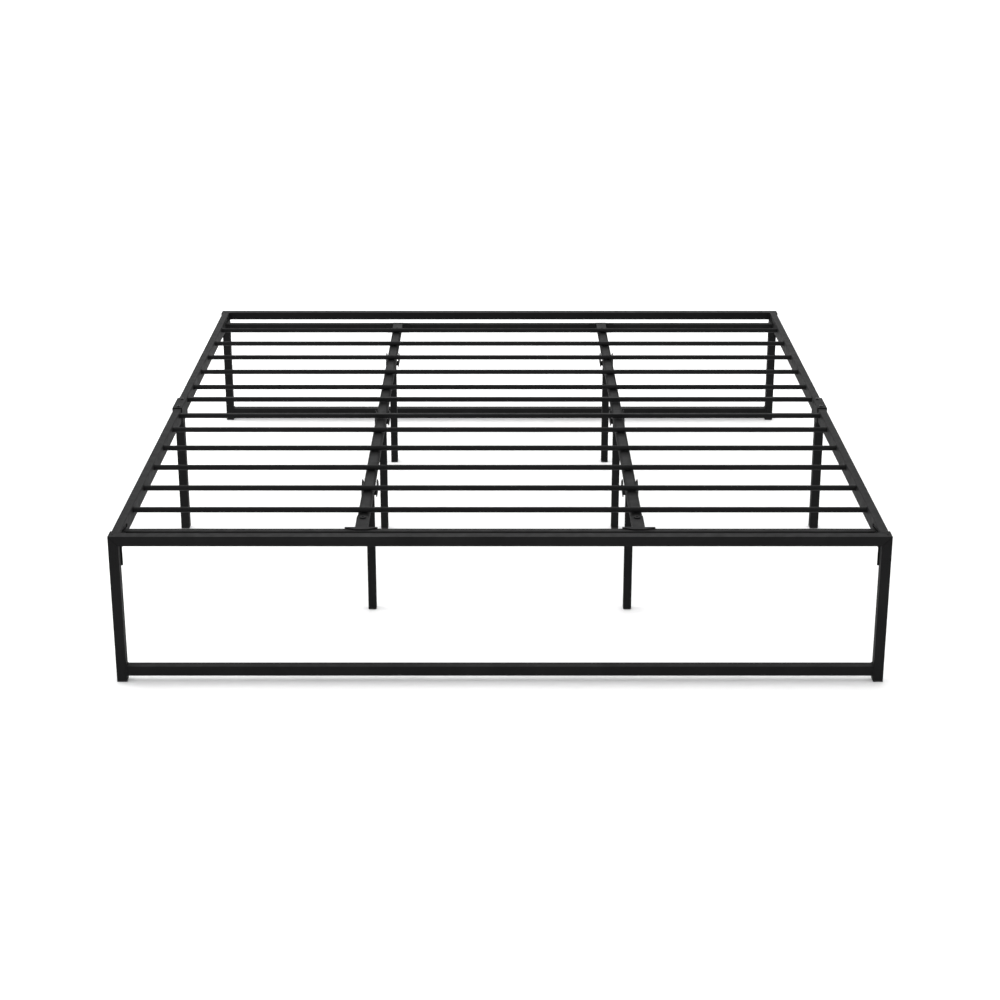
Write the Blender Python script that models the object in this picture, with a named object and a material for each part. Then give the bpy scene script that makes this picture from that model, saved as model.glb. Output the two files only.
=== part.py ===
"""King-size metal platform bed frame, knocked down into its tubes, plates, legs and caps.

Metres, +Z up. The origin is on the floor under the middle of the frame. +X is to the right
of someone at the foot end who looks at the head end, and +Y runs from foot to head.
"""
import math

import bmesh
import bpy
from mathutils import Matrix, Vector

# ---- driving dimensions -------------------------------------------------------------
WIDTH = 1.931               # outside of the end frames, a king mattress wide
LENGTH = 2.032              # outside of the end frames, a king mattress long
HEIGHT = 0.395              # floor to the top of the rails
GAP = 0.0003                # clearance kept between pieces that touch
WALL = 0.0012               # tube wall
CORNER_RADIUS = 0.0013      # outside corner of the square tubes
CORNER_STEPS = 3            # straight pieces in each rounded corner

FRAME_TUBE = 0.0254         # square tube of both end frames and of the mid side legs
BOTTOM_BAR_Z = 0.0168       # underside of the low bar of an end frame
RAIL_THICK = 0.0220         # side rail, across
RAIL_TALL = 0.040           # side rail, up
RAIL_INSET = 0.0034         # the side rails stand this far inside the end frames
JOINT_Y = 0.004             # where the rail halves and the beam halves meet
JOINT_SEAM = 0.0008         # seam between two halves

SLAT_DIAMETER = 0.0145
SLAT_SIDES = 20
SLAT_TOP = 0.3912
SLAT_PITCH = 0.1535
FIRST_SLAT_Y = 0.196        # slat nearest to mid-length, on either side of it
SLATS_PER_HALF = 5
MID_BAR = 0.0125            # square bar each side of the rail joint
MID_BAR_Y = 0.075

CROSS_TUBE = 0.020          # square tube behind each end frame
CROSS_TUBE_Z = 0.3553       # its underside
CROSS_TUBE_Y = 0.9135       # its face towards mid-length

BEAM_WIDE = 0.032           # flat oval tube of the centre beams
BEAM_TALL = 0.018
BEAM_STEPS = 8              # straight pieces in each quarter of its round sides
BEAM_X = 0.3488
BEAM_TOP = 0.3763
HOOK_WIDE = 0.083           # plate at the end of a beam that hooks over the cross tube
HOOK_TALL = 0.032
HOOK_THICK = 0.003
HOOK_CORNER = 0.005
TONGUE_THICK = 0.0025
TONGUE_REACH = 0.0115       # how far the tongue lies over the cross tube
TONGUE_TIP = 0.031
STRAP_WIDE = 0.0315         # flat strap from the tongue back along the top of the beam
STRAP_END_Y = 0.836

CENTRE_LEG = 0.022
CENTRE_LEG_Y = (-0.575, 0.0, 0.575)
SADDLE_THICK = 0.0028
SADDLE_INNER = 0.0184       # from the middle of the beam to the inside of a cheek
SADDLE_LONG = 0.070
SADDLE_BASE_LONG = 0.044
SADDLE_LOW = 0.340          # underside of the saddle
SADDLE_SHOULDER = 0.357     # top of a cheek at its two ends
SADDLE_PEAK = 0.375         # top of a cheek beside the leg
SADDLE_PEAK_LONG = 0.012

BRACKET_THICK = 0.0034      # folded corner bracket between a leg and a side rail
BRACKET_DROP = 0.308        # its lowest edge
BRACKET_LONG = 0.054        # how far its inner plate runs along the rail
BRACKET_LIP = 0.0085        # how far its outer lip runs along the rail
BRACKET_LOW = 0.3545        # underside of the inner plate
BRACKET_TOP = 0.3745        # its top, just under the slot in the rail
SLOT_LONG = 0.064           # long slanting hole in the inner wall of a rail
SLOT_TALL = 0.010
SLOT_FROM_END = 0.094
SLOT_Z = 0.381
SLOT_SLANT = 8.8            # degrees, lower towards mid-length

COVER_LONG = 0.094          # channel that is folded over a rail joint
COVER_OUTER = 0.0041        # thickness of its outer side
COVER_THICK = 0.0026        # thickness of its top and of its inner side
COVER_OUTER_TALL = 0.037
COVER_INNER_TALL = 0.0465   # its inner side reaches down beside the middle leg

SLEEVE_LONG = 0.160         # inner sleeve that lines two tube halves up
SLEEVE_WALL = 0.0018

CAP_LIP = 0.004             # part of a foot cap that shows below the tube
CAP_PLUG = 0.012            # part of it inside the tube
CAP_EDGE = 0.0008           # bevel round its foot

# ---- positions worked out from them -------------------------------------------------
HALF_W = WIDTH / 2
HALF_L = LENGTH / 2
LEG_BOTTOM = CAP_LIP + GAP
LEG_INNER = HALF_W - FRAME_TUBE
RAIL_OUTER = HALF_W - RAIL_INSET
RAIL_INNER = RAIL_OUTER - RAIL_THICK
RAIL_CENTRE = RAIL_OUTER - RAIL_THICK / 2
RAIL_Z = HEIGHT - RAIL_TALL / 2
BRACKET_Y = HALF_L - FRAME_TUBE - GAP
RAIL_END_Y = BRACKET_Y - BRACKET_THICK - GAP
BEAM_Z = BEAM_TOP - BEAM_TALL / 2
HOOK_Y = CROSS_TUBE_Y - GAP - HOOK_THICK / 2
SLOT_Y = HALF_L - SLOT_FROM_END
SLAT_ROWS = [FIRST_SLAT_Y + SLAT_PITCH * row for row in range(SLATS_PER_HALF)]

SIDES = (("left", -1), ("right", 1))
ENDS = (("foot", -1), ("head", 1))


# ---- scene --------------------------------------------------------------------------
def clear_scene():
    for item in list(bpy.data.objects):
        bpy.data.objects.remove(item, do_unlink=True)


def make_collection(name):
    group = bpy.data.collections.new(name)
    bpy.context.scene.collection.children.link(group)
    return group


def make_material(name, colour, roughness, metallic):
    material = bpy.data.materials.new(name)
    material.use_nodes = True
    shader = material.node_tree.nodes["Principled BSDF"]
    shader.inputs["Base Color"].default_value = (*colour, 1.0)
    shader.inputs["Roughness"].default_value = roughness
    shader.inputs["Metallic"].default_value = metallic
    return material


clear_scene()
PARTS = make_collection("metal_bed_frame")
CUTTERS = make_collection("cutters")
BLACK = (0.028, 0.028, 0.029)
FINISHES = {
    "frame": make_material("frame_powder_coat", BLACK, 0.45, 0.1),
    "slat": make_material("slat_powder_coat", (0.022, 0.022, 0.023), 0.42, 0.1),
    "plate": make_material("bracket_powder_coat", (0.025, 0.025, 0.026), 0.5, 0.1),
    "sleeve": make_material("bare_steel", (0.32, 0.32, 0.33), 0.4, 1.0),
    "cap": make_material("black_plastic", (0.015, 0.015, 0.016), 0.6, 0.0),
}


# ---- building blocks ----------------------------------------------------------------
def rounded_rectangle(wide, tall, radius, steps=CORNER_STEPS):
    """Corner points of a rounded rectangle centred on the origin, counter-clockwise."""
    points = []
    for quarter, (sx, sy) in enumerate(((1, 1), (-1, 1), (-1, -1), (1, -1))):
        centre_x = sx * (wide / 2 - radius)
        centre_y = sy * (tall / 2 - radius)
        for step in range(steps + 1):
            angle = (quarter + step / steps) * math.pi / 2
            points.append((centre_x + radius * math.cos(angle),
                           centre_y + radius * math.sin(angle)))
    return points


def circle(diameter, sides):
    turn = 2 * math.pi / sides
    radius = diameter / 2
    return [(radius * math.cos(turn * side), radius * math.sin(turn * side))
            for side in range(sides)]


def extruded(name, outlines, length, matrix, group=None):
    """Mesh object: flat outlines, the later ones holes, extruded evenly both ways along Z."""
    curve = bpy.data.curves.new(name, "CURVE")
    curve.dimensions = "2D"
    curve.fill_mode = "BOTH"
    curve.extrude = length / 2
    for outline in outlines:
        spline = curve.splines.new("POLY")
        spline.points.add(len(outline) - 1)
        for point, (x, y) in zip(spline.points, outline):
            point.co = (x, y, 0.0, 1.0)
        spline.use_cyclic_u = True
    drawn = bpy.data.objects.new(name + "_outline", curve)
    bpy.context.scene.collection.objects.link(drawn)
    graph = bpy.context.evaluated_depsgraph_get()
    mesh = bpy.data.meshes.new_from_object(drawn.evaluated_get(graph))
    bpy.data.objects.remove(drawn, do_unlink=True)
    bpy.data.curves.remove(curve)
    weld(mesh)
    mesh.name = name
    solid = bpy.data.objects.new(name, mesh)
    solid.matrix_world = matrix
    (group or PARTS).objects.link(solid)
    return solid


def weld(mesh):
    edit = bmesh.new()
    edit.from_mesh(mesh)
    bmesh.ops.remove_doubles(edit, verts=edit.verts, dist=0.00001)
    bmesh.ops.recalc_face_normals(edit, faces=edit.faces)
    edit.to_mesh(mesh)
    edit.free()


def placed(centre, along="Z"):
    """Matrix that turns the extrusion axis to the named one. Along X the outline's x is
    world Y and its y is world Z; along Y its x is world X and its y is world Z."""
    turns = {
        "Z": Matrix.Identity(4),
        "X": Matrix(((0, 0, 1, 0), (1, 0, 0, 0), (0, 1, 0, 0), (0, 0, 0, 1))),
        "Y": Matrix(((1, 0, 0, 0), (0, 0, -1, 0), (0, 1, 0, 0), (0, 0, 0, 1))),
    }
    return Matrix.Translation(Vector(centre)) @ turns[along]


def finish(solid, look):
    solid.data.materials.clear()
    solid.data.materials.append(FINISHES[look])
    solid.data.shade_smooth()
    solid.data.set_sharp_from_angle(angle=math.radians(35))
    return solid


def tube(name, wide, tall, start, end, along, look="frame", wall=WALL,
         radius=CORNER_RADIUS, steps=CORNER_STEPS):
    """Open-ended rectangular tube on the straight line from start to end."""
    inner_radius = max(radius - wall, 0.0004)
    outlines = [rounded_rectangle(wide, tall, radius, steps),
                rounded_rectangle(wide - 2 * wall, tall - 2 * wall, inner_radius, steps)]
    centre = (Vector(start) + Vector(end)) / 2
    length = (Vector(end) - Vector(start)).length
    return finish(extruded(name, outlines, length, placed(centre, along)), look)


def boolean(solid, other, operation):
    modifier = solid.modifiers.new(operation.lower() + "_" + other.name, "BOOLEAN")
    modifier.operation = operation
    modifier.solver = "EXACT"
    modifier.object = other
    other.hide_render = True
    other.display_type = "WIRE"


def cutter_box(name, size, matrix):
    """Plain block in the cutters collection, its size already in the mesh."""
    mesh = bpy.data.meshes.new(name)
    edit = bmesh.new()
    bmesh.ops.create_cube(edit, size=1.0)
    bmesh.ops.scale(edit, vec=Vector(size), verts=edit.verts)
    edit.to_mesh(mesh)
    edit.free()
    block = bpy.data.objects.new(name, mesh)
    block.matrix_world = matrix
    CUTTERS.objects.link(block)
    return block


# ---- end frames ---------------------------------------------------------------------
def mitre(solid, side, outward, name):
    """Cut a tube on the 45 degree plane through a top corner of an end frame.

    outward is +1 to take away what lies above and outside the plane, and -1 for the rest.
    """
    block = 0.12
    corner = Vector((side * HALF_W, 0.0, HEIGHT))
    normal = Vector((side, 0.0, 1.0)).normalized()
    across = Vector((side, 0.0, -1.0)).normalized()
    keep_y = solid.matrix_world.translation.y
    centre = Vector((corner.x, keep_y, corner.z)) + across * outward * (block / 2 - GAP / 2)
    turn = Matrix((across, Vector((0, 1, 0)), normal)).transposed().to_4x4()
    cutter = cutter_box(name, (block, block, block * 2), Matrix.Translation(centre) @ turn)
    boolean(solid, cutter, "DIFFERENCE")


def end_frame(end, end_sign):
    y = end_sign * (HALF_L - FRAME_TUBE / 2)
    top_z = HEIGHT - FRAME_TUBE / 2
    bar_z = BOTTOM_BAR_Z + FRAME_TUBE / 2
    spare = FRAME_TUBE / 4
    rail = tube(end + "_top_rail", FRAME_TUBE, FRAME_TUBE,
                (-HALF_W - spare, y, top_z), (HALF_W + spare, y, top_z), "X")
    for side, sign in SIDES:
        x = sign * (HALF_W - FRAME_TUBE / 2)
        leg = tube(f"{end}_{side}_leg", FRAME_TUBE, FRAME_TUBE,
                   (x, y, LEG_BOTTOM), (x, y, HEIGHT + spare), "Z")
        mitre(leg, sign, -1, f"cut_{end}_{side}_leg")
        mitre(rail, sign, 1, f"cut_{end}_{side}_rail")
    reach = LEG_INNER - GAP
    tube(end + "_bottom_bar", FRAME_TUBE, FRAME_TUBE, (-reach, y, bar_z), (reach, y, bar_z), "X")


# ---- side rails ---------------------------------------------------------------------
def slot_cutter(name, sign, end_sign):
    outline = rounded_rectangle(SLOT_LONG, SLOT_TALL, SLOT_TALL / 2 - 0.0001, steps=4)
    slant = Matrix.Rotation(math.radians(end_sign * SLOT_SLANT), 4, "Z")
    matrix = placed((sign * RAIL_INNER, end_sign * SLOT_Y, SLOT_Z), "X") @ slant
    return extruded(name, [outline], RAIL_THICK / 2, matrix, CUTTERS)


def side_rail_half(side, sign, end, end_sign):
    x = sign * RAIL_CENTRE
    split = JOINT_Y + end_sign * JOINT_SEAM / 2
    rail = tube(f"{side}_rail_{end}_half", RAIL_THICK, RAIL_TALL,
                (x, split, RAIL_Z), (x, end_sign * RAIL_END_Y, RAIL_Z), "Y")
    slot = slot_cutter(f"slot_{side}_{end}", sign, end_sign)
    boolean(rail, slot, "DIFFERENCE")


def corner_bracket(side, sign, end, end_sign):
    """Folded plate: a flange behind the leg, a short outer lip and a plate inside the rail."""
    inner_face = RAIL_INNER - GAP - BRACKET_THICK
    plan = [(inner_face, 0.0), (HALF_W, 0.0), (HALF_W, -BRACKET_THICK - BRACKET_LIP),
            (RAIL_OUTER + GAP, -BRACKET_THICK - BRACKET_LIP),
            (RAIL_OUTER + GAP, -BRACKET_THICK), (RAIL_INNER - GAP, -BRACKET_THICK),
            (RAIL_INNER - GAP, -BRACKET_LONG), (inner_face, -BRACKET_LONG)]
    outline = [(sign * x, end_sign * y) for x, y in plan]
    tall = HEIGHT - BRACKET_DROP
    centre = (0.0, end_sign * BRACKET_Y, BRACKET_DROP + tall / 2)
    bracket = extruded(f"{end}_{side}_corner_bracket", [outline], tall, placed(centre))
    beyond = 0.01
    above = bracket_relief(f"above_{end}_{side}", sign, end_sign, BRACKET_TOP, HEIGHT + beyond)
    below = bracket_relief(f"below_{end}_{side}", sign, end_sign, BRACKET_DROP - beyond,
                           BRACKET_LOW)
    boolean(bracket, above, "DIFFERENCE")
    boolean(bracket, below, "DIFFERENCE")
    finish(bracket, "plate")


def bracket_relief(name, sign, end_sign, low, top):
    """Takes the inner plate off between two heights, but leaves its fold by the flange."""
    centre_y = end_sign * (BRACKET_Y - BRACKET_THICK - BRACKET_LONG / 2)
    centre = (sign * (RAIL_INNER - RAIL_THICK / 4), centre_y, (low + top) / 2)
    size = (RAIL_THICK, BRACKET_LONG, top - low)
    return cutter_box(name, size, Matrix.Translation(Vector(centre)))


def rail_joint(side, sign):
    """Channel over the outside, top and inside of a rail joint, and the sleeve in it."""
    inside = RAIL_INNER - GAP
    outside = RAIL_OUTER + GAP
    underside = HEIGHT + GAP
    top = underside + COVER_THICK
    section = [(outside, HEIGHT - COVER_OUTER_TALL), (outside, underside), (inside, underside),
               (inside, HEIGHT - COVER_INNER_TALL),
               (inside - COVER_THICK, HEIGHT - COVER_INNER_TALL),
               (inside - COVER_THICK, top - COVER_THICK / 2),
               (inside - COVER_THICK / 2, top), (outside + COVER_OUTER - COVER_THICK / 2, top),
               (outside + COVER_OUTER, top - COVER_THICK / 2),
               (outside + COVER_OUTER, HEIGHT - COVER_OUTER_TALL)]
    outline = [(sign * x, z) for x, z in section]
    cover = extruded(side + "_rail_joint_cover", [outline], COVER_LONG,
                     placed((0.0, JOINT_Y, 0.0), "Y"))
    finish(cover, "plate")
    x = sign * RAIL_CENTRE
    clearance = 2 * (WALL + GAP)
    tube(side + "_rail_sleeve", RAIL_THICK - clearance, RAIL_TALL - clearance,
         (x, JOINT_Y - SLEEVE_LONG / 2, RAIL_Z), (x, JOINT_Y + SLEEVE_LONG / 2, RAIL_Z),
         "Y", "sleeve", SLEEVE_WALL)


def mid_side_leg(side, sign):
    x = sign * (HALF_W - FRAME_TUBE / 2)
    top = HEIGHT - RAIL_TALL - GAP
    tube(f"mid_{side}_leg", FRAME_TUBE, FRAME_TUBE,
         (x, JOINT_Y, LEG_BOTTOM), (x, JOINT_Y, top), "Z")


# ---- slats and cross tubes ----------------------------------------------------------
def slat(name, y):
    outlines = [circle(SLAT_DIAMETER, SLAT_SIDES),
                circle(SLAT_DIAMETER - 2 * WALL, SLAT_SIDES)]
    length = 2 * (RAIL_INNER - GAP)
    centre = (0.0, y, SLAT_TOP - SLAT_DIAMETER / 2)
    finish(extruded(name, outlines, length, placed(centre, "X")), "slat")


def cross_members(end, end_sign):
    for number, row in enumerate(SLAT_ROWS, start=1):
        slat(f"{end}_slat_{number}", end_sign * row)
    reach = RAIL_INNER - GAP
    y = end_sign * MID_BAR_Y
    z = SLAT_TOP - MID_BAR / 2
    tube(end + "_mid_bar", MID_BAR, MID_BAR, (-reach, y, z), (reach, y, z), "X", "slat")
    y = end_sign * (CROSS_TUBE_Y + CROSS_TUBE / 2)
    z = CROSS_TUBE_Z + CROSS_TUBE / 2
    tube(end + "_cross_tube", CROSS_TUBE, CROSS_TUBE, (-reach, y, z), (reach, y, z), "X")


# ---- centre beams and their legs ----------------------------------------------------
def hook_plate(name, x, end_sign):
    wide = HOOK_WIDE / 2
    top = CROSS_TUBE_Z + CROSS_TUBE + GAP + TONGUE_THICK
    low = top - HOOK_TALL
    outline = [(wide, top), (-wide, top), (-wide, low + HOOK_CORNER),
               (-wide + HOOK_CORNER, low), (wide - HOOK_CORNER, low), (wide, low + HOOK_CORNER)]
    matrix = placed((x, end_sign * HOOK_Y, 0.0), "Y")
    return extruded(name, [outline], HOOK_THICK, matrix, CUTTERS)


def hook_tongue(name, x, end_sign):
    """Tapered tongue on top of the hook plate that lies over the cross tube."""
    root = HOOK_Y - HOOK_THICK / 4
    tip = CROSS_TUBE_Y + TONGUE_REACH
    shoulder = CROSS_TUBE_Y + HOOK_THICK / 2
    wide = HOOK_WIDE / 2
    plan = [(-wide, root), (wide, root), (wide, shoulder), (TONGUE_TIP / 2, tip),
            (-TONGUE_TIP / 2, tip), (-wide, shoulder)]
    outline = [(px, end_sign * py) for px, py in plan]
    z = CROSS_TUBE_Z + CROSS_TUBE + GAP + TONGUE_THICK / 2
    return extruded(name, [outline], TONGUE_THICK, placed((x, 0.0, z)), CUTTERS)


def strap(name, x, end_sign):
    """Flat continuation of the tongue along the top of the beam."""
    length = HOOK_Y - STRAP_END_Y
    centre = (x, end_sign * (STRAP_END_Y + length / 2),
              CROSS_TUBE_Z + CROSS_TUBE + GAP + TONGUE_THICK / 2)
    return cutter_box(name, (STRAP_WIDE, length, TONGUE_THICK),
                      Matrix.Translation(Vector(centre)))


def beam_half(side, sign, end, end_sign):
    x = sign * BEAM_X
    split = JOINT_Y + end_sign * JOINT_SEAM / 2
    beam = tube(f"{side}_beam_{end}_half", BEAM_WIDE, BEAM_TALL,
                (x, split, BEAM_Z), (x, end_sign * HOOK_Y, BEAM_Z), "Y",
                radius=BEAM_TALL / 2 - GAP, steps=BEAM_STEPS)
    boolean(beam, hook_plate(f"hook_{side}_{end}", x, end_sign), "UNION")
    boolean(beam, hook_tongue(f"tongue_{side}_{end}", x, end_sign), "UNION")
    boolean(beam, strap(f"strap_{side}_{end}", x, end_sign), "UNION")


def beam_sleeve(side, sign):
    x = sign * BEAM_X
    clearance = 2 * (WALL + GAP)
    tall = BEAM_TALL - clearance
    tube(side + "_beam_sleeve", BEAM_WIDE - clearance, tall,
         (x, JOINT_Y - SLEEVE_LONG / 2, BEAM_Z), (x, JOINT_Y + SLEEVE_LONG / 2, BEAM_Z),
         "Y", "sleeve", SLEEVE_WALL, radius=tall / 2 - GAP, steps=BEAM_STEPS)


def saddle_cheek(name, x, y, cheek):
    """Side plate of a saddle, seen from the side: long at the foot, with a peak by the leg."""
    end = SADDLE_LONG / 2
    peak = SADDLE_PEAK_LONG / 2
    outline = [(-end, SADDLE_LOW), (end, SADDLE_LOW), (end, SADDLE_SHOULDER),
               (peak, SADDLE_PEAK), (-peak, SADDLE_PEAK), (-end, SADDLE_SHOULDER)]
    plane = x + cheek * (SADDLE_INNER + SADDLE_THICK / 2)
    return extruded(name, [outline], SADDLE_THICK, placed((plane, y, 0.0), "X"), CUTTERS)


def centre_leg(side, sign, row, y):
    """Tube that carries the beam on its end, with a saddle welded round it to hold the beam."""
    x = sign * BEAM_X
    leg = tube(f"{side}_centre_leg_{row}", CENTRE_LEG, CENTRE_LEG,
               (x, y, LEG_BOTTOM), (x, y, BEAM_TOP - BEAM_TALL - GAP), "Z")
    width = 2 * SADDLE_INNER + SADDLE_THICK
    hole = CENTRE_LEG - WALL
    outlines = [rounded_rectangle(width, SADDLE_BASE_LONG, CORNER_RADIUS, steps=1),
                rounded_rectangle(hole, hole, CORNER_RADIUS, steps=1)]
    base = extruded(f"base_{side}_{row}", outlines, SADDLE_THICK,
                    placed((x, y, SADDLE_LOW + SADDLE_THICK / 2)), CUTTERS)
    boolean(leg, base, "UNION")
    for cheek in (-1, 1):
        name = f"cheek_{side}_{row}_{cheek + 1}"
        boolean(leg, saddle_cheek(name, x, y, cheek), "UNION")


# ---- foot caps ----------------------------------------------------------------------
def foot_cap(name, size, x, y):
    """Plastic glide: a lip as wide as the tube and a plug that goes up inside it."""
    radius = CORNER_RADIUS
    lip = extruded(name, [rounded_rectangle(size, size, radius)], CAP_LIP,
                   placed((x, y, CAP_LIP / 2)))
    plug_size = size - 2 * (WALL + GAP)
    plug = extruded("plug_" + name, [rounded_rectangle(plug_size, plug_size, radius / 2)],
                    CAP_PLUG + CAP_LIP / 2,
                    placed((x, y, CAP_LIP / 2 + (CAP_PLUG + CAP_LIP / 2) / 2)), CUTTERS)
    bevel_foot(lip)
    boolean(lip, plug, "UNION")
    finish(lip, "cap")


def bevel_foot(solid):
    """Round the bottom rim of a cap, which lies at the lowest height of its mesh."""
    edit = bmesh.new()
    edit.from_mesh(solid.data)
    low = min(vertex.co.z for vertex in edit.verts)
    rim = [edge for edge in edit.edges
           if all(abs(vertex.co.z - low) < 0.00001 for vertex in edge.verts)
           and edge.calc_face_angle(0.0) > 0.5]
    bmesh.ops.bevel(edit, geom=rim, offset=CAP_EDGE, segments=2, affect="EDGES")
    edit.to_mesh(solid.data)
    edit.free()


def foot_caps():
    frame_x = HALF_W - FRAME_TUBE / 2
    frame_y = HALF_L - FRAME_TUBE / 2
    for side, sign in SIDES:
        for end, end_sign in ENDS:
            foot_cap(f"{end}_{side}_foot_cap", FRAME_TUBE, sign * frame_x, end_sign * frame_y)
        foot_cap(f"mid_{side}_foot_cap", FRAME_TUBE, sign * frame_x, JOINT_Y)
        for row, y in enumerate(CENTRE_LEG_Y, start=1):
            foot_cap(f"{side}_centre_foot_cap_{row}", CENTRE_LEG, sign * BEAM_X, y)


# ---- assembly -----------------------------------------------------------------------
for end_name, end_way in ENDS:
    end_frame(end_name, end_way)
    cross_members(end_name, end_way)

for side_name, side_way in SIDES:
    for end_name, end_way in ENDS:
        side_rail_half(side_name, side_way, end_name, end_way)
        corner_bracket(side_name, side_way, end_name, end_way)
        beam_half(side_name, side_way, end_name, end_way)
    rail_joint(side_name, side_way)
    beam_sleeve(side_name, side_way)
    mid_side_leg(side_name, side_way)
    for leg_row, leg_y in enumerate(CENTRE_LEG_Y, start=1):
        centre_leg(side_name, side_way, leg_row, leg_y)

foot_caps()
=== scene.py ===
"""Looks of the metal bed frame: coatings, weld beads, screws, studio and camera.

Metres, +Z up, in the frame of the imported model. The foot end is towards -Y.
"""

import math

import bmesh
import bpy
from mathutils import Matrix, Vector, noise


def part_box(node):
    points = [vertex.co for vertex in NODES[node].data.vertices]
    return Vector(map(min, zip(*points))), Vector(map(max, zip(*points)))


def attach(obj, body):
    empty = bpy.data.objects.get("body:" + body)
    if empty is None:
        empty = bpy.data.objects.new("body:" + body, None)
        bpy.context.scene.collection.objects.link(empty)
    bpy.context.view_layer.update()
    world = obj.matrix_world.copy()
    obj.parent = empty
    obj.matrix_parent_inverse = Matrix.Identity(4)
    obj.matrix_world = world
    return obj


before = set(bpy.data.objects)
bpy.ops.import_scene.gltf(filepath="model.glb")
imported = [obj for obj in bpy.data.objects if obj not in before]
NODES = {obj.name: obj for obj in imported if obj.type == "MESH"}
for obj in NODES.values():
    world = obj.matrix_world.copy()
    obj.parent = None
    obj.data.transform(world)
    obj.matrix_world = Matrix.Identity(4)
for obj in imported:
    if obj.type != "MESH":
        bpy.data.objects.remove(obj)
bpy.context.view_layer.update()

SIDES = (("left", -1), ("right", 1))
ENDS = (("foot", -1), ("head", 1))
SLAT_NUMBERS = (1, 2, 3, 4, 5)
LEG_ROWS = (1, 2, 3)

# ---- studio -------------------------------------------------------------------------
CAMERA_PLACE = (-0.0050, -5.2652, 2.1804)
CAMERA_PITCH = 17.992          # degrees below the horizon
CAMERA_LENS = 67.32            # mm on a 36 mm sensor
CAMERA_SHIFT = (0.0020, -0.12)
CAMERA_SENSOR = 36.0           # mm
CAMERA_REACH = 200.0
FLOOR_HALF = 60.0
FLOOR_DROP = 0.0005            # below the caps, so that the two never share a plane
FLOOR_TONE = (0.93, 0.93, 0.93, 1.0)
WORLD_STRENGTH = 1.15
HORIZON = (0.05, (0.74, 0.74, 0.75, 1.0))      # height of a direction, and its tone
OVERHEAD = (0.75, (1.05, 1.05, 1.05, 1.0))
LAMP_AIM = (0.0, 0.0, 0.3)
# name, place, size, power in watts
LAMPS = (
    ("key_above", (0.0, 1.0, 4.0), 4.0, 60.0),
    ("fill_left", (-4.0, 0.5, 2.2), 2.5, 60.0),
    ("rim_back", (0.0, 14.0, 7.0), 8.0, 420.0),
)


def make_camera():
    data = bpy.data.cameras.new("camera")
    data.lens = CAMERA_LENS
    data.sensor_width = CAMERA_SENSOR
    data.shift_x, data.shift_y = CAMERA_SHIFT
    data.clip_end = CAMERA_REACH
    camera = bpy.data.objects.new("camera", data)
    camera.location = CAMERA_PLACE
    camera.rotation_euler = (math.radians(90.0 - CAMERA_PITCH), 0.0, 0.0)
    bpy.context.scene.collection.objects.link(camera)
    bpy.context.scene.camera = camera


def softbox(name, place, size, power):
    """Square area lamp at place that faces the frame."""
    data = bpy.data.lights.new(name, "AREA")
    data.shape = "SQUARE"
    data.size = size
    data.energy = power
    lamp = bpy.data.objects.new(name, data)
    lamp.location = place
    facing = Vector(LAMP_AIM) - Vector(place)
    lamp.rotation_euler = facing.to_track_quat("-Z", "Y").to_euler()
    bpy.context.scene.collection.objects.link(lamp)


def make_world():
    """Even white surround, a little dimmer near the horizon than overhead."""
    world = bpy.data.worlds.new("studio")
    bpy.context.scene.world = world
    world.use_nodes = True
    tree = world.node_tree
    background = tree.nodes["Background"]
    background.inputs["Strength"].default_value = WORLD_STRENGTH
    place = tree.nodes.new("ShaderNodeTexCoord")
    split = tree.nodes.new("ShaderNodeSeparateXYZ")
    ramp = tree.nodes.new("ShaderNodeValToRGB")
    for element, (height, tone) in zip(ramp.color_ramp.elements, (HORIZON, OVERHEAD)):
        element.position = height
        element.color = tone
    tree.links.new(place.outputs["Generated"], split.inputs["Vector"])
    tree.links.new(split.outputs["Z"], ramp.inputs["Fac"])
    tree.links.new(ramp.outputs["Color"], background.inputs["Color"])


def make_floor():
    mesh = bpy.data.meshes.new("floor")
    half = FLOOR_HALF
    low = -FLOOR_DROP
    mesh.from_pydata([(-half, -half, low), (half, -half, low), (half, half, low),
                      (-half, half, low)], [], [(0, 1, 2, 3)])
    floor = bpy.data.objects.new("floor", mesh)
    bpy.context.scene.collection.objects.link(floor)
    material = bpy.data.materials.new("pale_floor")
    material.use_nodes = True
    shader = material.node_tree.nodes["Principled BSDF"]
    shader.inputs["Base Color"].default_value = FLOOR_TONE
    shader.inputs["Roughness"].default_value = 0.9
    shader.inputs["Specular IOR Level"].default_value = 0.1
    mesh.materials.append(material)


# ---- materials ----------------------------------------------------------------------
# Noise scales are per metre: features are about one over the scale wide.
DRIFT_SCALE = 7.0              # slow change of tone along a tube
GLOSS_SCALE = 38.0             # patches of gloss
PEEL_SCALE = 420.0             # orange peel
GRAIN_SCALE = 2400.0           # powder grain
PEEL_DEPTH = 0.0006
GRAIN_DEPTH = 0.0002
SCRATCH_DEPTH = 0.0001
COAT_SPECULAR = 0.09


def blank_material(name, roughness, specular):
    material = bpy.data.materials.new(name)
    material.use_nodes = True
    shader = material.node_tree.nodes["Principled BSDF"]
    shader.inputs["Roughness"].default_value = roughness
    shader.inputs["Specular IOR Level"].default_value = specular
    return material, material.node_tree, shader


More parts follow.
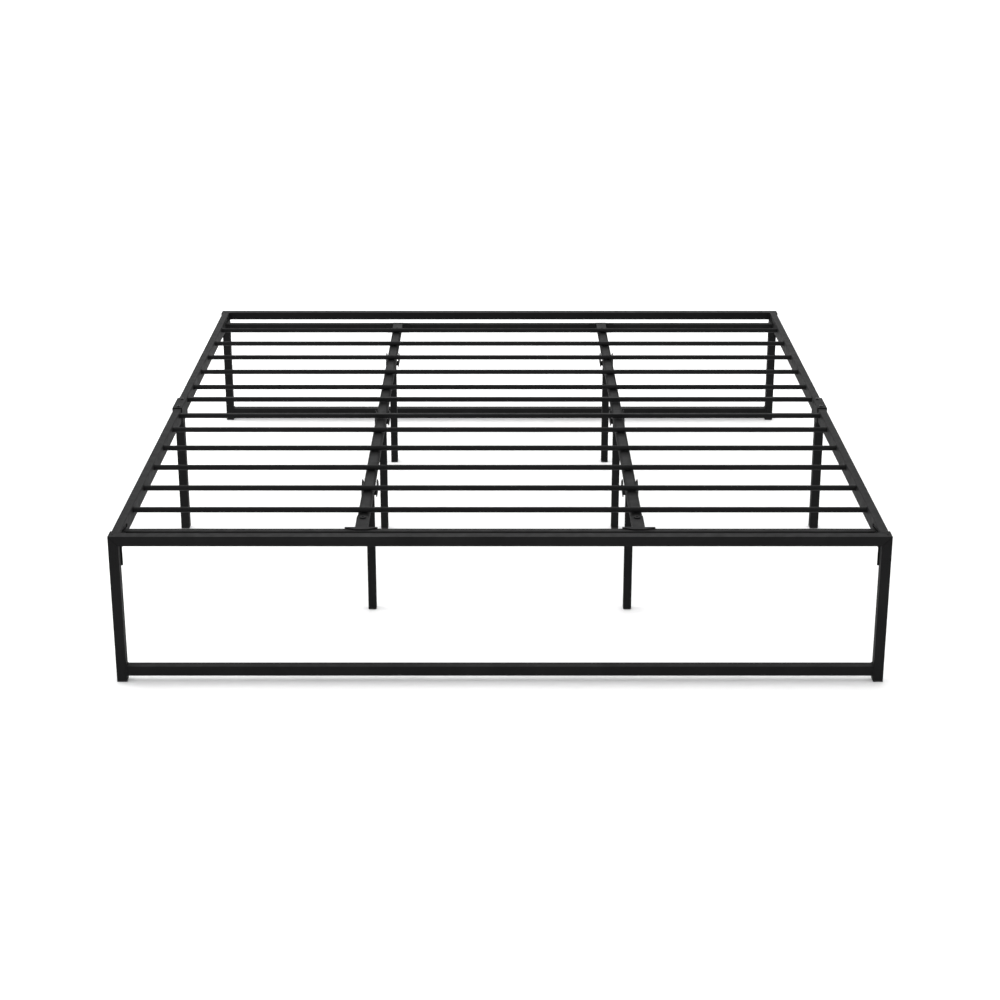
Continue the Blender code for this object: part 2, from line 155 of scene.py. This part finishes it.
def place_noise(tree, scale, detail=2.0, stretch=None):
    """Noise over the object's own coordinates, in metres."""
    place = tree.nodes.new("ShaderNodeTexCoord")
    texture = tree.nodes.new("ShaderNodeTexNoise")
    texture.inputs["Scale"].default_value = scale
    texture.inputs["Detail"].default_value = detail
    source = place.outputs["Object"]
    if stretch:
        mapping = tree.nodes.new("ShaderNodeMapping")
        mapping.inputs["Scale"].default_value = stretch
        tree.links.new(source, mapping.inputs["Vector"])
        source = mapping.outputs["Vector"]
    tree.links.new(source, texture.inputs["Vector"])
    return texture.outputs["Fac"]


def span(tree, source, low, high, near=0.3, far=0.7):
    """Map a factor between near and far to the range from low to high."""
    node = tree.nodes.new("ShaderNodeMapRange")
    for socket, value in (("From Min", near), ("From Max", far), ("To Min", low), ("To Max", high)):
        node.inputs[socket].default_value = value
    tree.links.new(source, node.inputs["Value"])
    return node.outputs["Result"]


def two_tone(tree, source, dark, light, near=0.3, far=0.7):
    ramp = tree.nodes.new("ShaderNodeValToRGB")
    ramp.color_ramp.elements[0].position = near
    ramp.color_ramp.elements[0].color = (*dark, 1.0)
    ramp.color_ramp.elements[1].position = far
    ramp.color_ramp.elements[1].color = (*light, 1.0)
    tree.links.new(source, ramp.inputs["Fac"])
    return ramp.outputs["Color"]


def bump(tree, height, distance, strength, under=None):
    node = tree.nodes.new("ShaderNodeBump")
    node.inputs["Distance"].default_value = distance
    node.inputs["Strength"].default_value = strength
    tree.links.new(height, node.inputs["Height"])
    if under:
        tree.links.new(under, node.inputs["Normal"])
    return node.outputs["Normal"]


def powder_coat(name, dark, light, smooth, rough, peel=0.16):
    """Satin black powder coat: orange peel, finer grain, and drifting tone and gloss."""
    material, tree, shader = blank_material(name, smooth, COAT_SPECULAR)
    drift = place_noise(tree, DRIFT_SCALE, detail=3.0)
    tree.links.new(two_tone(tree, drift, dark, light), shader.inputs["Base Color"])
    gloss = span(tree, place_noise(tree, GLOSS_SCALE, detail=4.0), smooth, rough)
    tree.links.new(gloss, shader.inputs["Roughness"])
    coarse = bump(tree, place_noise(tree, PEEL_SCALE, detail=1.0), PEEL_DEPTH, peel)
    fine = bump(tree, place_noise(tree, GRAIN_SCALE, detail=2.0), GRAIN_DEPTH, peel, coarse)
    tree.links.new(fine, shader.inputs["Normal"])
    return material


def plastic(name, tone):
    """Moulded black plastic with a fine spark texture."""
    material, tree, shader = blank_material(name, roughness=0.6, specular=0.3)
    light = tuple(1.5 * part for part in tone)
    mottle = place_noise(tree, scale=60.0, detail=3.0)
    tree.links.new(two_tone(tree, mottle, tone, light), shader.inputs["Base Color"])
    gloss = span(tree, place_noise(tree, scale=300.0), low=0.5, high=0.68)
    tree.links.new(gloss, shader.inputs["Roughness"])
    texture = place_noise(tree, scale=1500.0, detail=3.0)
    spark = bump(tree, texture, GRAIN_DEPTH, strength=0.35)
    tree.links.new(spark, shader.inputs["Normal"])
    return material


def bare_steel(name):
    """Drawn steel tube, brushed lengthwise, for the hidden sleeves."""
    material, tree, shader = blank_material(name, roughness=0.35, specular=0.5)
    shader.inputs["Metallic"].default_value = 1.0
    grain = place_noise(tree, scale=30.0, detail=4.0, stretch=(40.0, 1.0, 40.0))
    tree.links.new(two_tone(tree, grain, (0.24, 0.24, 0.25), (0.40, 0.40, 0.41)),
                   shader.inputs["Base Color"])
    tree.links.new(span(tree, grain, low=0.28, high=0.46), shader.inputs["Roughness"])
    tree.links.new(bump(tree, grain, SCRATCH_DEPTH, strength=0.3), shader.inputs["Normal"])
    return material


def black_oxide(name):
    """Blackened steel of the screws: smoother than the coating, with a fine grain."""
    material, tree, shader = blank_material(name, roughness=0.35, specular=0.4)
    shader.inputs["Metallic"].default_value = 0.6
    mottle = place_noise(tree, scale=500.0, detail=3.0)
    tone = two_tone(tree, mottle, (0.006, 0.006, 0.007), (0.016, 0.016, 0.017))
    tree.links.new(tone, shader.inputs["Base Color"])
    gloss = span(tree, place_noise(tree, scale=900.0), low=0.3, high=0.45)
    tree.links.new(gloss, shader.inputs["Roughness"])
    grain = bump(tree, place_noise(tree, scale=1800.0), SCRATCH_DEPTH, strength=0.2)
    tree.links.new(grain, shader.inputs["Normal"])
    return material


LOOKS = {
    "frame": powder_coat("frame_coat", (0.0050, 0.0050, 0.0052), (0.0075, 0.0075, 0.0077),
                         smooth=0.60, rough=0.70),
    "slat": powder_coat("slat_coat", (0.0045, 0.0045, 0.0047), (0.0070, 0.0070, 0.0072),
                        smooth=0.58, rough=0.68),
    "plate": powder_coat("plate_coat", (0.0050, 0.0050, 0.0052), (0.0080, 0.0080, 0.0082),
                         smooth=0.62, rough=0.72),
    "weld": powder_coat("weld_coat", (0.0045, 0.0045, 0.0047), (0.0075, 0.0075, 0.0077),
                        smooth=0.58, rough=0.70, peel=0.25),
    # painted shade: near-black, rough coat that stands in for the shadow in the mitre gaps and in
    # the corner vent holes
    "painted_shade": powder_coat("painted_shade_coat", (0.0010, 0.0010, 0.0010), (0.0022, 0.0022, 0.0022),
                        smooth=0.80, rough=0.95, peel=0.30),
    "sleeve": bare_steel("sleeve_steel"),
    "cap": plastic("cap_plastic", (0.0055, 0.0055, 0.0058)),
    "screw": black_oxide("screw_steel"),
}


def look_of(name):
    """Which look a CAD node wears, from its name."""
    if "foot_cap" in name:
        return "cap"
    if "sleeve" in name:
        return "sleeve"
    if "slat" in name or "mid_bar" in name:
        return "slat"
    if "bracket" in name or "cover" in name:
        return "plate"
    return "frame"


MERGE_DISTANCE = 0.00002
EDGE_SOFTNESS = 0.00025
SHARP_ANGLE = math.radians(40)
SMOOTH_ANGLE = math.radians(38)


def dress_nodes():
    """Give every CAD node its coating, with its sharp edges softened as the coat does."""
    for name, node in NODES.items():
        look = look_of(name)
        for slot in node.material_slots:
            slot.material = LOOKS[look]
        joined = node.modifiers.new("joined", "WELD")
        joined.merge_threshold = MERGE_DISTANCE
        soft = node.modifiers.new("soft_edges", "BEVEL")
        soft.width = EDGE_SOFTNESS
        soft.segments = 2
        soft.limit_method = "ANGLE"
        soft.angle_limit = SHARP_ANGLE
        soft.use_clamp_overlap = True
        even = node.modifiers.new("even_faces", "WEIGHTED_NORMAL")
        even.keep_sharp = True


# ---- building blocks ----------------------------------------------------------------
def add_piece(name, mesh_edit, look):
    """Finish a bmesh as a smooth-shaded piece that rides on the frame."""
    mesh = bpy.data.meshes.new(name)
    bmesh.ops.recalc_face_normals(mesh_edit, faces=mesh_edit.faces)
    mesh_edit.to_mesh(mesh)
    mesh_edit.free()
    mesh.shade_smooth()
    mesh.set_sharp_from_angle(angle=SMOOTH_ANGLE)
    mesh.materials.append(LOOKS[look])
    piece = bpy.data.objects.new(name, mesh)
    bpy.context.scene.collection.objects.link(piece)
    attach(piece, "root")
    return piece


def box(name):
    low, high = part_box(name)
    return Vector(low), Vector(high)


def middle(name):
    low, high = box(name)
    return (low + high) / 2


BEAD_SIDES = 7
BEAD_RIPPLE = 0.0024           # spacing of the ripples along a weld
BEAD_STEP = BEAD_RIPPLE / 4
BEAD_SWELL = 0.13              # share of the radius that the ripples add and take away
BEAD_WANDER = 0.22             # share of the radius that drifts along the bead
WANDER_SCALE = 260.0


def resampled(corners, closed):
    """Points about one bead step apart along a polyline, with rounded counts per side."""
    ends = corners[1:] + corners[:1] if closed else corners[1:]
    pairs = list(zip(corners, ends))
    points = []
    for start, end in pairs:
        count = max(1, round((end - start).length / BEAD_STEP))
        points += [start.lerp(end, step / count) for step in range(count)]
    if not closed:
        points.append(corners[-1])
    return points


def add_bead(mesh_edit, corners, radius, closed=True):
    """Rippled weld bead along a polyline, as a tube that swells and narrows."""
    points = resampled(corners, closed)
    count = len(points)
    rings = []
    for index, point in enumerate(points):
        before = points[index - 1] if closed or index else point
        after = points[(index + 1) % count] if closed or index < count - 1 else point
        along = (after - before).normalized()
        side = along.orthogonal().normalized()
        up = along.cross(side)
        phase = 2 * math.pi * index * BEAD_STEP / BEAD_RIPPLE
        wander = noise.noise(point * WANDER_SCALE)
        swell = radius * (1.0 + BEAD_SWELL * math.sin(phase) + BEAD_WANDER * wander)
        if not closed:
            swell *= min(1.0, 0.35 + 0.25 * min(index, count - 1 - index))
        ring = []
        for step in range(BEAD_SIDES):
            angle = 2 * math.pi * step / BEAD_SIDES
            offset = side * math.cos(angle) + up * math.sin(angle)
            ring.append(mesh_edit.verts.new(point + offset * swell))
        rings.append(ring)
    join_rings(mesh_edit, rings, closed)
    if not closed:
        mesh_edit.faces.new(rings[0])
        mesh_edit.faces.new(rings[-1])


def join_rings(mesh_edit, rings, closed=False):
    """Skin between rings of equal length, matched by the nearest vertex."""
    pairs = list(zip(rings, rings[1:] + rings[:1])) if closed else list(zip(rings, rings[1:]))
    for one, two in pairs:
        count = len(one)
        turn = min(range(count), key=lambda k: sum(
            (one[i].co - two[(i + k) % count].co).length for i in range(count)))
        for i in range(count):
            j = (i + 1) % count
            mesh_edit.faces.new((one[i], one[j], two[(j + turn) % count], two[(i + turn) % count]))


def rectangle(centre, half_a, half_b):
    """Corners of a rectangle from its centre and two half-side vectors."""
    return [centre + half_a + half_b, centre - half_a + half_b,
            centre - half_a - half_b, centre + half_a - half_b]


def ring_points(centre, axis, radius, sides=28):
    side = axis.orthogonal().normalized()
    up = axis.cross(side).normalized()
    turn = 2 * math.pi / sides
    return [centre + radius * (side * math.cos(turn * step) + up * math.sin(turn * step))
            for step in range(sides)]


# ---- weld beads ---------------------------------------------------------------------
FRAME_BEAD = 0.0015
SLAT_BEAD = 0.0011
SEAM_BEAD = 0.0009
SEAM_SUNK = 0.0006             # how far the middle of a seam lies under the face
SEAM_INSET = 0.0012            # how far it stops short of the corners
SADDLE_LOW = 0.340             # underside of the saddles on the centre legs
X_AXIS = Vector((1, 0, 0))
Y_AXIS = Vector((0, 1, 0))
Z_AXIS = Vector((0, 0, 1))


def end_bead(edit, node, sign, radius):
    """Bead round the end of a square bar that butts against what is beside it."""
    low, high = box(node)
    centre = (low + high) / 2
    centre.x = (high if sign > 0 else low).x
    half = (high - low) / 2
    add_bead(edit, rectangle(centre, Y_AXIS * half.y, Z_AXIS * half.z), radius)


def bar_welds():
    for end, _ in ENDS:
        edit = bmesh.new()
        for _, sign in SIDES:
            end_bead(edit, end + "_bottom_bar", sign, FRAME_BEAD)
            end_bead(edit, end + "_cross_tube", sign, FRAME_BEAD)
            end_bead(edit, end + "_mid_bar", sign, SLAT_BEAD)
        add_piece(end + "_bar_welds", edit, "weld")


def slat_welds():
    for end, _ in ENDS:
        edit = bmesh.new()
        for number in SLAT_NUMBERS:
            low, high = box(f"{end}_slat_{number}")
            centre = (low + high) / 2
            radius = (high.z - low.z) / 2
            for x in (low.x, high.x):
                spot = Vector((x, centre.y, centre.z))
                add_bead(edit, ring_points(spot, X_AXIS, radius), SLAT_BEAD)
        add_piece(end + "_slat_welds", edit, "weld")


def mitre_seams():
    """Ground-down seam on the front and back of each top corner of an end frame, in the near-black
    coat that paints the shadow of the mitre's gap.
    """
    for end, _ in ENDS:
        edit = bmesh.new()
        rail_low, rail_high = box(end + "_top_rail")
        tube = rail_high.z - rail_low.z
        for _, sign in SIDES:
            outer = Vector((sign * rail_high.x, 0.0, rail_high.z))
            inner = Vector((sign * (rail_high.x - tube), 0.0, rail_high.z - tube))
            along = (inner - outer).normalized()
            start = outer + along * SEAM_INSET
            stop = inner - along * SEAM_INSET
            for y in (rail_low.y + SEAM_SUNK, rail_high.y - SEAM_SUNK):
                add_bead(edit, [Vector((start.x, y, start.z)), Vector((stop.x, y, stop.z))],
                         SEAM_BEAD, closed=False)
        # near-black coat: painted shadow along the mitre gap
        add_piece(end + "_mitre_seam_shadows", edit, "painted_shade")


def leg_welds():
    edit = bmesh.new()
    for side, _ in SIDES:
        low, high = box(f"mid_{side}_leg")
        centre = (low + high) / 2
        centre.z = high.z
        half = (high - low) / 2
        add_bead(edit, rectangle(centre, X_AXIS * half.x, Y_AXIS * half.y), FRAME_BEAD)
    add_piece("mid_leg_welds", edit, "weld")
    for side, _ in SIDES:
        edit = bmesh.new()
        for row in LEG_ROWS:
            centre = middle(f"{side}_centre_foot_cap_{row}")
            cap_low, cap_high = box(f"{side}_centre_foot_cap_{row}")
            centre.z = SADDLE_LOW
            half = (cap_high - cap_low) / 2
            add_bead(edit, rectangle(centre, X_AXIS * half.x, Y_AXIS * half.y), FRAME_BEAD)
        add_piece(side + "_saddle_welds", edit, "weld")


# ---- screws -------------------------------------------------------------------------
TURN_SIDES = 24
BRACKET_BOLT_Y = 0.9510        # from mid-length
BRACKET_BOLT_Z = 0.3645
WASHER_SIZE = 0.0130
WASHER_THICK = 0.0010
SLOT_Y = 0.922                 # middle of the slanting slot near a rail's end
SLOT_Z = 0.381
SLOT_SLANT = 8.8               # degrees, lower towards mid-length
TAB_LONG = 0.052
TAB_TALL = 0.0050
TAB_COVER = 0.0010             # steel between it and the rail's outer face, in a 1.2 mm wall
TAB_RECESS = 0.0012            # below the rail's inner face
TAB_ROUND = 0.0008
BEAM_BOLT_Y = 0.849            # from mid-length
COVER_SCREW_X = 0.950          # from the middle of the frame
COVER_SCREW_INSET = 0.14       # from either end of the cover, as a share of its length
RIVET_INSET = 0.0095
RIVET_Y = 1.0016


def turned(edit, centre, axis, profile, hex_from=None):
    """Turned shape from (radius, height) pairs; rings from hex_from on are hexagons."""
    side = axis.orthogonal().normalized()
    up = axis.cross(side).normalized()
    rings = []
    for index, (radius, height) in enumerate(profile):
        ring = []
        for step in range(TURN_SIDES):
            angle = 2 * math.pi * step / TURN_SIDES
            reach = radius
            if hex_from is not None and index >= hex_from:
                sixth = (angle + math.pi / 6) % (math.pi / 3) - math.pi / 6
                reach = radius / math.cos(sixth)
            spot = side * math.cos(angle) + up * math.sin(angle)
            ring.append(edit.verts.new(centre + axis * height + spot * reach))
        rings.append(ring)
    for one, two in zip(rings, rings[1:]):
        for i in range(TURN_SIDES):
            j = (i + 1) % TURN_SIDES
            edit.faces.new((one[i], one[j], two[j], two[i]))
    edit.faces.new(rings[-1])
    edit.faces.new(list(reversed(rings[0])))


def socket_screw(edit, centre, axis, head, tall, key):
    """Button head with a hexagon socket; centre is where it meets the surface."""
    radius = head / 2
    turned(edit, centre, axis, [
        (radius * 0.96, 0.0), (radius, tall * 0.12), (radius * 0.97, tall * 0.38),
        (radius * 0.86, tall * 0.68), (radius * 0.70, tall * 0.90), (radius * 0.56, tall),
        (key / 2 * 1.10, tall), (key / 2, tall * 0.93), (key / 2 * 0.98, tall * 0.30)],
        hex_from=6)


def flat_bolt(edit, centre, axis, head, tall, key):
    """Low cylindrical head with a thin chamfer and a shallow hexagon socket."""
    radius = head / 2
    turned(edit, centre, axis, [
        (radius, 0.0), (radius, tall * 0.45), (radius, tall * 0.86), (radius * 0.95, tall),
        (radius * 0.60, tall), (key / 2 * 1.06, tall), (key / 2, tall * 0.9),
        (key / 2 * 0.97, tall * 0.35)], hex_from=5)


def washer(edit, centre, axis, size, thick):
    radius = size / 2
    turned(edit, centre, axis, [(radius * 0.97, 0.0), (radius, thick * 0.3),
                                (radius, thick * 0.75), (radius * 0.97, thick),
                                (radius * 0.3, thick)])


def bracket_bolts():
    """Bolt and washer through the inner plate of each corner bracket into its rail."""
    for end, end_sign in ENDS:
        for side, sign in SIDES:
            node = f"{end}_{side}_corner_bracket"
            low, high = box(node)
            inner = min(abs(low.x), abs(high.x))
            spot = Vector((sign * inner, end_sign * BRACKET_BOLT_Y, BRACKET_BOLT_Z))
            inward = X_AXIS * -sign
            edit = bmesh.new()
            washer(edit, spot, inward, WASHER_SIZE, WASHER_THICK)
            on_washer = spot + inward * WASHER_THICK
            socket_screw(edit, on_washer, inward, head=0.0100, tall=0.0030, key=0.0040)
            add_piece(f"{end}_{side}_bracket_bolt", edit, "screw")


def bracket_tabs():
    """Hook tab of each corner bracket, seen inside the slanting slot of its rail."""
    for end, end_sign in ENDS:
        for side, sign in SIDES:
            rail_low, rail_high = box(f"{side}_rail_{end}_half")
            near = min(abs(rail_low.x), abs(rail_high.x)) + TAB_RECESS
            far = max(abs(rail_low.x), abs(rail_high.x)) - TAB_COVER
            slant = Matrix.Rotation(math.radians(end_sign * SLOT_SLANT), 3, "X")
            edit = bmesh.new()
            bmesh.ops.create_cube(edit, size=1.0)
            bmesh.ops.scale(edit, vec=(far - near, TAB_LONG, TAB_TALL), verts=edit.verts)
            bmesh.ops.bevel(edit, geom=edit.edges, offset=TAB_ROUND, segments=2, affect="EDGES")
            bmesh.ops.rotate(edit, matrix=slant, verts=edit.verts)
            bmesh.ops.translate(edit, vec=(sign * (near + far) / 2, end_sign * SLOT_Y, SLOT_Z),
                                verts=edit.verts)
            add_piece(f"{end}_{side}_bracket_tab", edit, "plate")


def beam_bolts():
    """Flat-headed bolt that holds each beam half's strap, near the strap's end."""
    for side, _ in SIDES:
        for end, end_sign in ENDS:
            node = f"{side}_beam_{end}_half"
            spot = middle(node)
            spot.y = end_sign * BEAM_BOLT_Y
            spot.z = box(node)[1].z
            edit = bmesh.new()
            flat_bolt(edit, spot, Z_AXIS, head=0.0172, tall=0.0028, key=0.0050)
            add_piece(f"{side}_beam_{end}_bolt", edit, "plate")


def cover_screws():
    """Two flat-headed screws in the top of each rail joint cover."""
    for side, sign in SIDES:
        low, high = box(side + "_rail_joint_cover")
        inset = (high.y - low.y) * COVER_SCREW_INSET
        edit = bmesh.new()
        for y in (low.y + inset, high.y - inset):
            spot = Vector((sign * COVER_SCREW_X, y, high.z))
            flat_bolt(edit, spot, Z_AXIS, head=0.0096, tall=0.0031, key=0.0056)
        add_piece(side + "_cover_screws", edit, "screw")


def corner_rivets():
    """Small blind rivet that closes the vent hole on top of each mitred corner, in the near-black
    coat that paints the shade of an open hole.
    """
    for end, end_sign in ENDS:
        _, high = box(end + "_top_rail")
        edit = bmesh.new()
        for _, sign in SIDES:
            spot = Vector((sign * (high.x - RIVET_INSET), end_sign * RIVET_Y, high.z))
            turned(edit, spot, Z_AXIS, [(0.0016, 0.0), (0.0018, 0.0002), (0.0017, 0.0005),
                                        (0.0012, 0.0008), (0.0006, 0.0008), (0.0005, 0.0002)])
        # near-black coat: painted shade of the vent hole
        add_piece(end + "_corner_rivet_shades", edit, "painted_shade")


# ---- assembly -----------------------------------------------------------------------
bpy.context.scene.view_settings.view_transform = "Standard"
make_camera()
make_world()
make_floor()
for lamp_name, lamp_place, lamp_size, lamp_power in LAMPS:
    softbox(lamp_name, lamp_place, lamp_size, lamp_power)

dress_nodes()
bar_welds()
slat_welds()
mitre_seams()
leg_welds()
beam_bolts()
cover_screws()
corner_rivets()
bracket_bolts()
bracket_tabs()
